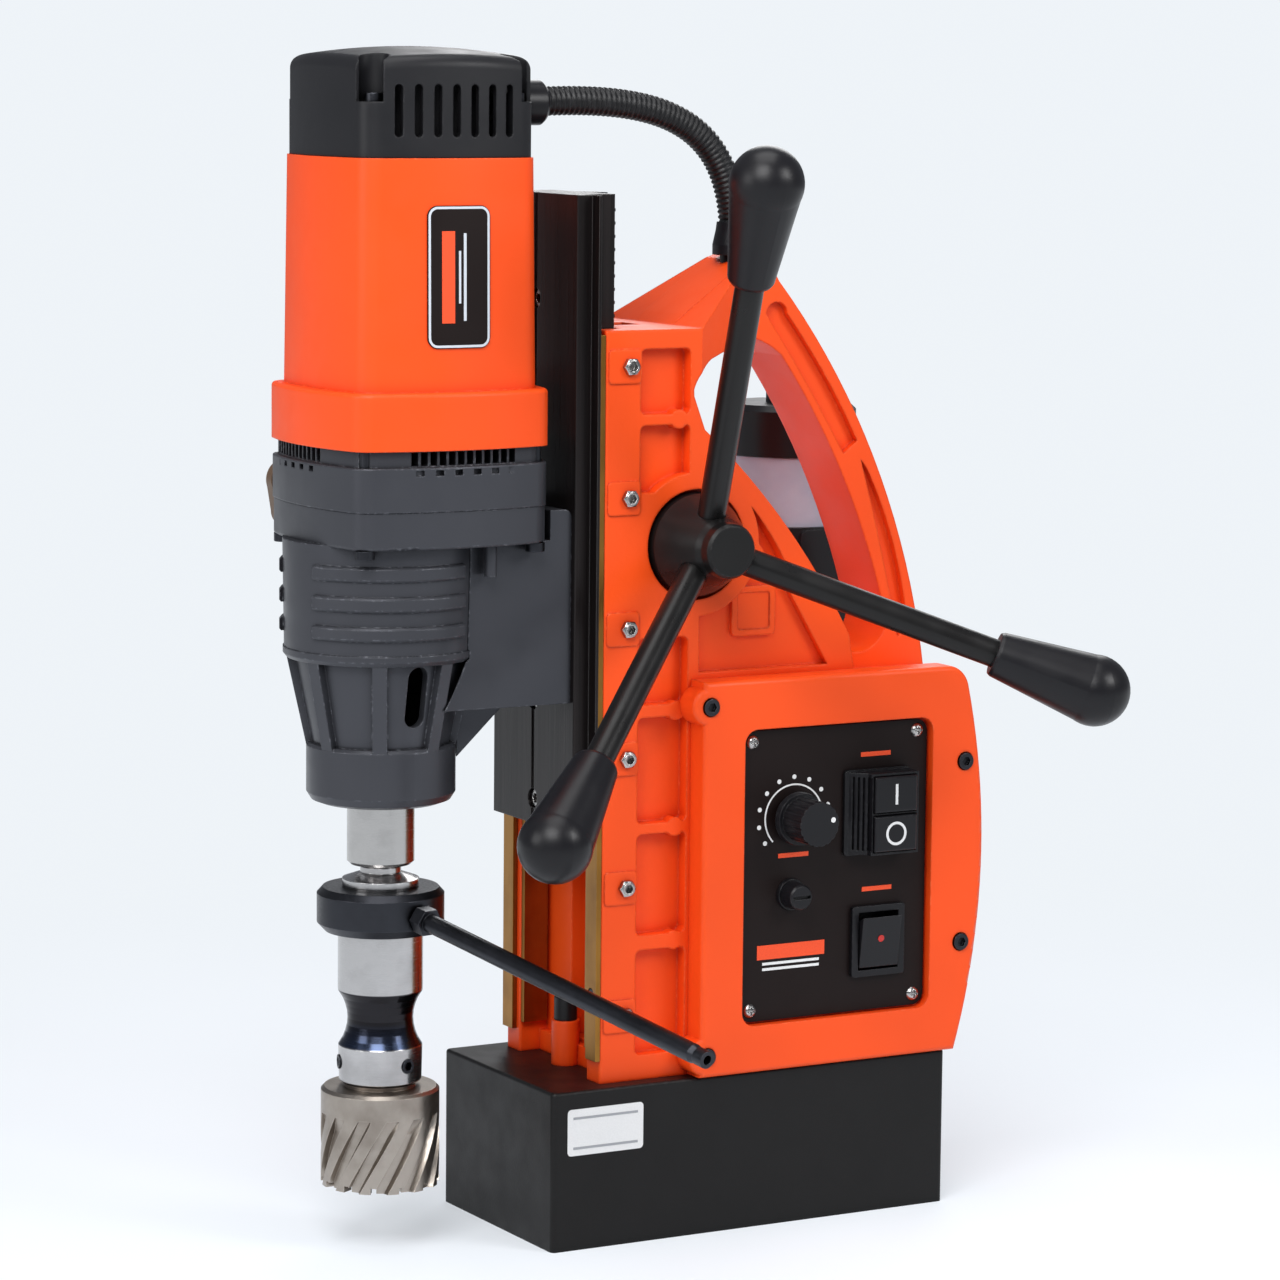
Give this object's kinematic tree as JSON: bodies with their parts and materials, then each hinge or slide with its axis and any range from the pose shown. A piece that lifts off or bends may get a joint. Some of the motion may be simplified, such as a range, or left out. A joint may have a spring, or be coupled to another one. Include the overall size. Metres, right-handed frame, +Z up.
{
  "type": "magnetic drill press",
  "caption": "Magnetic-base drill press: slide-mounted motor and gearbox with annular cutter, spoked feed handle, cast frame with carrying handle and a control panel.",
  "frame": {"origin": "centre of the magnet's underside", "axes": "+Z up along the feed direction, drill side toward -Y, control panel facing +X"},
  "size_m": [0.3529, 0.3685, 0.567],
  "materials": {
    "black_anodised": "black anodised, ground",
    "black_paint": "fine textured enamel",
    "black_plastic": "moulded, satin",
    "black_steel": "black oxide",
    "brass": "milled brass",
    "bronze": "sintered bronze",
    "brown_moulding": "brown phenolic moulding",
    "circuit_board": "solder mask",
    "copper_winding": "enamelled copper wire",
    "grey_casting": "bead-blasted dark anodised casting",
    "lamination_steel": "stacked electrical steel",
    "orange_moulding": "satin moulded plastic",
    "orange_paint": "aluminium casting, satin powder coat",
    "panel_black": "printed panel film",
    "resin": "cast potting resin",
    "rubber": "moulded rubber",
    "steel": "ground steel",
    "tank_plastic": "natural polyethylene",
    "tool_steel": "ground high-speed steel"
  },
  "bodies": {
    "stand": {"magnet_body": "black_paint", "magnet_coil": "copper_winding", "magnet_potting": "resin", "base_bolts": "black_steel", "frame_casting": "orange_paint", "gib_strips": "brass", "gib_strip_screws": "black_steel", "side_gibs": "brass", "gib_set_screws": "steel", "slide_bumper": "rubber", "pinion_bushes": "bronze", "frame_gland": "black_plastic", "electronics_cover": "orange_moulding", "cover_screws": "black_steel", "control_panel": "panel_black", "panel_screws": "steel", "speed_control_body": "steel", "fuse_holder_body": "black_plastic", "motor_switch_body": "black_plastic", "magnet_switch_body": "black_plastic", "control_board": "circuit_board", "tank_bottle": "tank_plastic", "tank_holder": "black_plastic"},
    "carriage": {"cable_conduit": "rubber", "slide_bar": "black_anodised", "feed_rack": "black_steel", "slide_screws": "steel", "motor_bracket": "grey_casting", "gearbox_lower": "grey_casting", "gearbox_upper": "grey_casting", "motor_screws": "black_steel", "motor_housing": "orange_moulding", "motor_label": "panel_black", "motor_cap": "black_plastic", "cap_gland": "black_plastic", "motor_stator": "lamination_steel", "brush_gear": "brass", "carriage_bearings": "steel"},
    "spindle": {"spindle": "steel", "spindle_gear": "black_steel", "arbor": "steel", "arbor_set_screws": "black_steel", "annular_cutter": "tool_steel", "pilot_pin": "steel"},
    "armature": {"armature_shaft": "steel", "armature_core": "lamination_steel", "cooling_fan": "black_plastic"},
    "layshaft": {"layshaft": "black_steel"},
    "coolant_ring": {"coolant_ring": "black_steel", "coolant_pipe": "black_steel"},
    "feed_handle": {"feed_shaft": "steel", "feed_hub": "black_plastic", "feed_arms": "black_paint", "feed_grips": "black_plastic"},
    "speed_knob": {"speed_knob": "black_plastic"},
    "motor_on_button": {"motor_on_button": "black_plastic"},
    "motor_off_button": {"motor_off_button": "black_plastic"},
    "magnet_rocker": {"magnet_rocker": "black_plastic"},
    "fuse_cap": {"fuse_cap": "black_plastic"},
    "gear_selector": {"gear_selector": "brown_moulding"}
  },
  "joints": [
    {"name": "slide_feed", "type": "slide", "parent": "stand", "child": "carriage", "axis": [0, 0, 1], "range_m": [-0.084, 0.05], "deforming": ["cable_conduit"]},
    {"name": "feed_handle_turn", "type": "hinge", "parent": "stand", "child": "feed_handle", "pos_m": [0, -0.03, 0.3335], "axis": [1, 0, 0], "range_deg": [-115.6, 193.5]},
    {"name": "spindle_spin", "type": "hinge", "parent": "carriage", "child": "spindle", "pos_m": [0, -0.173, 0.3], "axis": [0, 0, 1], "continuous": true},
    {"name": "armature_spin", "type": "hinge", "parent": "carriage", "child": "armature", "pos_m": [0, -0.159, 0.45], "axis": [0, 0, 1], "continuous": true},
    {"name": "layshaft_spin", "type": "hinge", "parent": "carriage", "child": "layshaft", "pos_m": [-0.01487, -0.13587, 0.345], "axis": [0, 0, 1], "continuous": true},
    {"name": "coolant_ring_swing", "type": "hinge", "parent": "carriage", "child": "coolant_ring", "pos_m": [0, -0.173, 0.162], "axis": [0, 0, 1], "range_deg": [-190, 4]},
    {"name": "speed_knob_turn", "type": "hinge", "parent": "stand", "child": "speed_knob", "pos_m": [0.065, 0.0204, 0.2], "axis": [1, 0, 0], "range_deg": [-270, 0]},
    {"name": "motor_on_press", "type": "slide", "parent": "stand", "child": "motor_on_button", "axis": [-1, 0, 0], "range_m": [0, 0.0025]},
    {"name": "motor_off_press", "type": "slide", "parent": "stand", "child": "motor_off_button", "axis": [-1, 0, 0], "range_m": [0, 0.0025]},
    {"name": "magnet_rocker_tip", "type": "hinge", "parent": "stand", "child": "magnet_rocker", "pos_m": [0.055, 0.0682, 0.136], "axis": [0, 1, 0], "range_deg": [-15, 0]},
    {"name": "fuse_cap_turn", "type": "hinge", "parent": "stand", "child": "fuse_cap", "pos_m": [0.06, 0.019, 0.1625], "axis": [1, 0, 0], "range_deg": [0, 90]},
    {"name": "gear_selector_turn", "type": "hinge", "parent": "carriage", "child": "gear_selector", "pos_m": [-0.056, -0.1938, 0.3615], "axis": [1, 0, 0], "range_deg": [0, 60]}
  ],
  "couplings": [
    {"joint": "feed_handle_turn", "follows": "slide_feed", "rad_per_m": -40},
    {"joint": "layshaft_spin", "follows": "spindle_spin", "ratio": -2.3333},
    {"joint": "armature_spin", "follows": "spindle_spin", "ratio": 9.0741}
  ]
}
